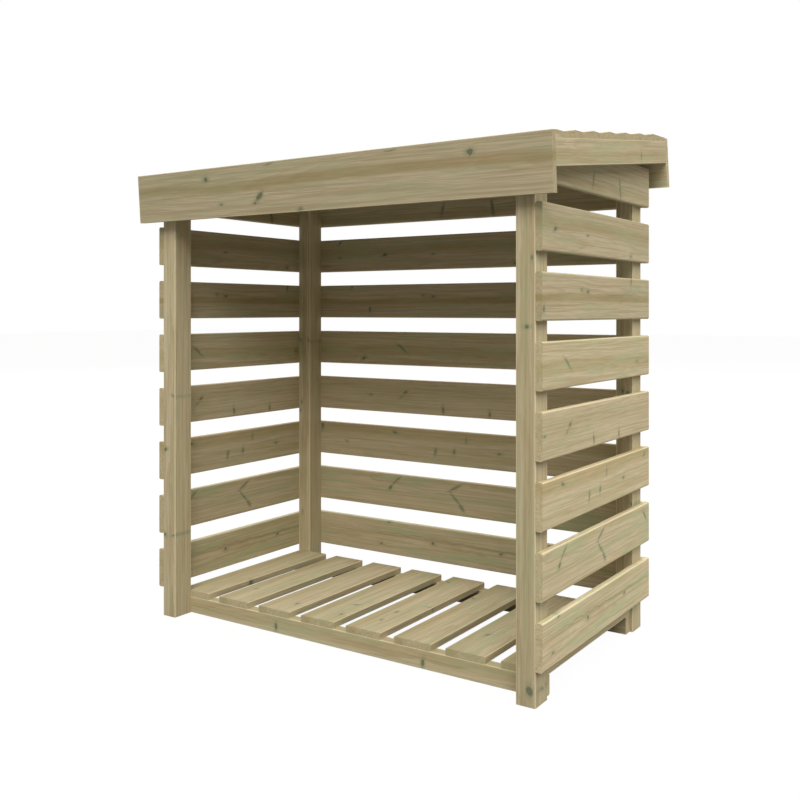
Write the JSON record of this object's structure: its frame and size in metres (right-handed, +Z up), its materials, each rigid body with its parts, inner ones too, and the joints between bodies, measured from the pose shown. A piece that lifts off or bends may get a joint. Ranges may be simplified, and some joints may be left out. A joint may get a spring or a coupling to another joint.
{
  "type": "log store",
  "caption": "Open-fronted timber log store with slatted ends and back, a slatted floor and a lapped board roof that falls to the front.",
  "frame": {"origin": "on the ground, under the middle of the whole store's width and depth", "axes": "+X to the right along the open front, +Y from the open front to the slatted back, +Z up"},
  "size_m": [1.191, 0.7172, 1.2477],
  "materials": {
    "post_timber": "pressure-treated softwood, planed",
    "slat_timber": "pressure-treated softwood, planed, with a green tint",
    "floor_timber": "pressure-treated softwood, planed",
    "roof_timber": "pressure-treated softwood, planed, with rebated feather-edged roof boards"
  },
  "bodies": {
    "root": {"post_front_left": "post_timber", "post_back_left": "post_timber", "side_slat_left_1": "slat_timber", "side_slat_left_2": "slat_timber", "side_slat_left_3": "slat_timber", "side_slat_left_4": "slat_timber", "side_slat_left_5": "slat_timber", "side_slat_left_6": "slat_timber", "side_slat_left_7": "slat_timber", "side_slat_left_8": "slat_timber", "post_front_right": "post_timber", "post_back_right": "post_timber", "side_slat_right_1": "slat_timber", "side_slat_right_2": "slat_timber", "side_slat_right_3": "slat_timber", "side_slat_right_4": "slat_timber", "side_slat_right_5": "slat_timber", "side_slat_right_6": "slat_timber", "side_slat_right_7": "slat_timber", "side_slat_right_8": "slat_timber", "back_slat_1": "slat_timber", "back_slat_2": "slat_timber", "back_slat_3": "slat_timber", "back_slat_4": "slat_timber", "back_slat_5": "slat_timber", "back_slat_6": "slat_timber", "back_slat_7": "slat_timber", "back_slat_8": "slat_timber", "floor_bearer_front": "post_timber", "floor_bearer_back": "post_timber", "floor_boards": "floor_timber", "rafter_left": "roof_timber", "rafter_middle": "roof_timber", "rafter_right": "roof_timber", "fascia_front": "roof_timber", "fascia_back": "roof_timber", "eaves_strip": "roof_timber", "roof_board_1": "roof_timber", "roof_board_2": "roof_timber", "roof_board_3": "roof_timber", "roof_board_4": "roof_timber", "roof_board_5": "roof_timber", "roof_board_6": "roof_timber", "roof_board_7": "roof_timber"}
  },
  "joints": []
}
